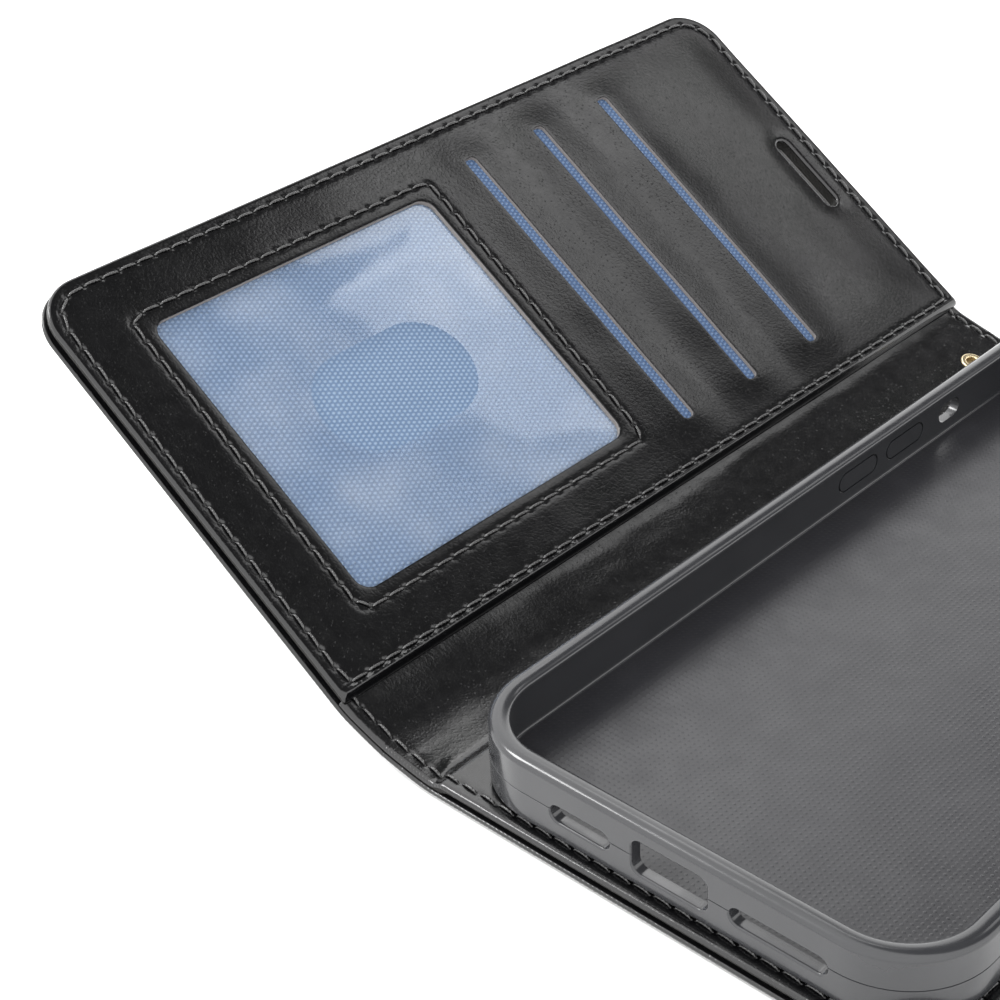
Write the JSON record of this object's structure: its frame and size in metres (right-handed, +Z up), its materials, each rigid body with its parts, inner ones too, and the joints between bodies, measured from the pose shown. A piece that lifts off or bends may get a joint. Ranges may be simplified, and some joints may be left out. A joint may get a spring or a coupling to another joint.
{
  "type": "phone wallet case",
  "caption": "Book-style phone case lying open: moulded phone tray on a back cover, soft spine, and a front cover with window pocket, card slots and a note pocket.",
  "frame": {"origin": "centre of the back cover's flat underside", "axes": "+X from the spine to the back cover's free edge, +Y along the spine to the phone's top end, +Z up out of the tray"},
  "size_m": [0.1592, 0.154, 0.0505],
  "materials": {
    "leather_outer": "glossy black coated leather with a fine grain",
    "leather_inner": "glossy black coated leather, softly creased",
    "tray_plastic": "glossy dark grey flexible plastic",
    "board": "matt grey board",
    "adhesive": "double-sided adhesive sheet",
    "interlining": "thin non-woven interlining",
    "eyelet_metal": "polished pale gold plating",
    "magnet": "nickel-plated",
    "note_lining": "thin black lining cloth",
    "pocket_fabric": "blue plain-weave nylon",
    "window_film": "clear flexible film",
    "padding": "thin foam sheet",
    "thread": "waxed black thread"
  },
  "bodies": {
    "back_cover": {"outer_skin_back": "leather_outer", "back_board": "board", "inner_lining_back": "leather_inner", "adhesive_pad": "adhesive", "phone_shell": "tray_plastic"},
    "volume_up_button": {"volume_up_pad": "tray_plastic"},
    "volume_down_button": {"volume_down_pad": "tray_plastic"},
    "power_button": {"power_pad": "tray_plastic"},
    "spine": {"outer_skin_spine": "leather_outer", "spine_interlining": "interlining", "inner_lining_spine": "leather_inner", "lanyard_eyelet": "eyelet_metal", "eyelet_washer": "eyelet_metal"},
    "front_cover": {"outer_skin_front": "leather_outer", "front_board": "board", "closure_magnets": "magnet", "note_pocket_lining": "note_lining", "card_pocket_lining": "pocket_fabric", "card_divider_1": "pocket_fabric", "card_divider_2": "pocket_fabric", "card_divider_3": "pocket_fabric", "window_film": "window_film", "facing_padding": "padding", "pocket_facing": "leather_inner"}
  },
  "joints": [
    {"name": "spine_hinge", "type": "hinge", "parent": "back_cover", "child": "spine", "pos_m": [-0.04085, 0, 0.0009], "axis": [0, 1, 0], "range_deg": [-106, 74]},
    {"name": "front_hinge", "type": "hinge", "parent": "spine", "child": "front_cover", "pos_m": [-0.05575, 0, 0.00517], "axis": [0, 1, 0], "range_deg": [-108.5, 71.5]},
    {"name": "volume_up_press", "type": "slide", "parent": "back_cover", "child": "volume_up_button", "axis": [1, 0, 0], "range_m": [0, 0.0004], "stiffness_N_per_m": 5000},
    {"name": "volume_down_press", "type": "slide", "parent": "back_cover", "child": "volume_down_button", "axis": [1, 0, 0], "range_m": [0, 0.0004], "stiffness_N_per_m": 5000},
    {"name": "power_press", "type": "slide", "parent": "back_cover", "child": "power_button", "axis": [-1, 0, 0], "range_m": [0, 0.0004], "stiffness_N_per_m": 5000}
  ]
}
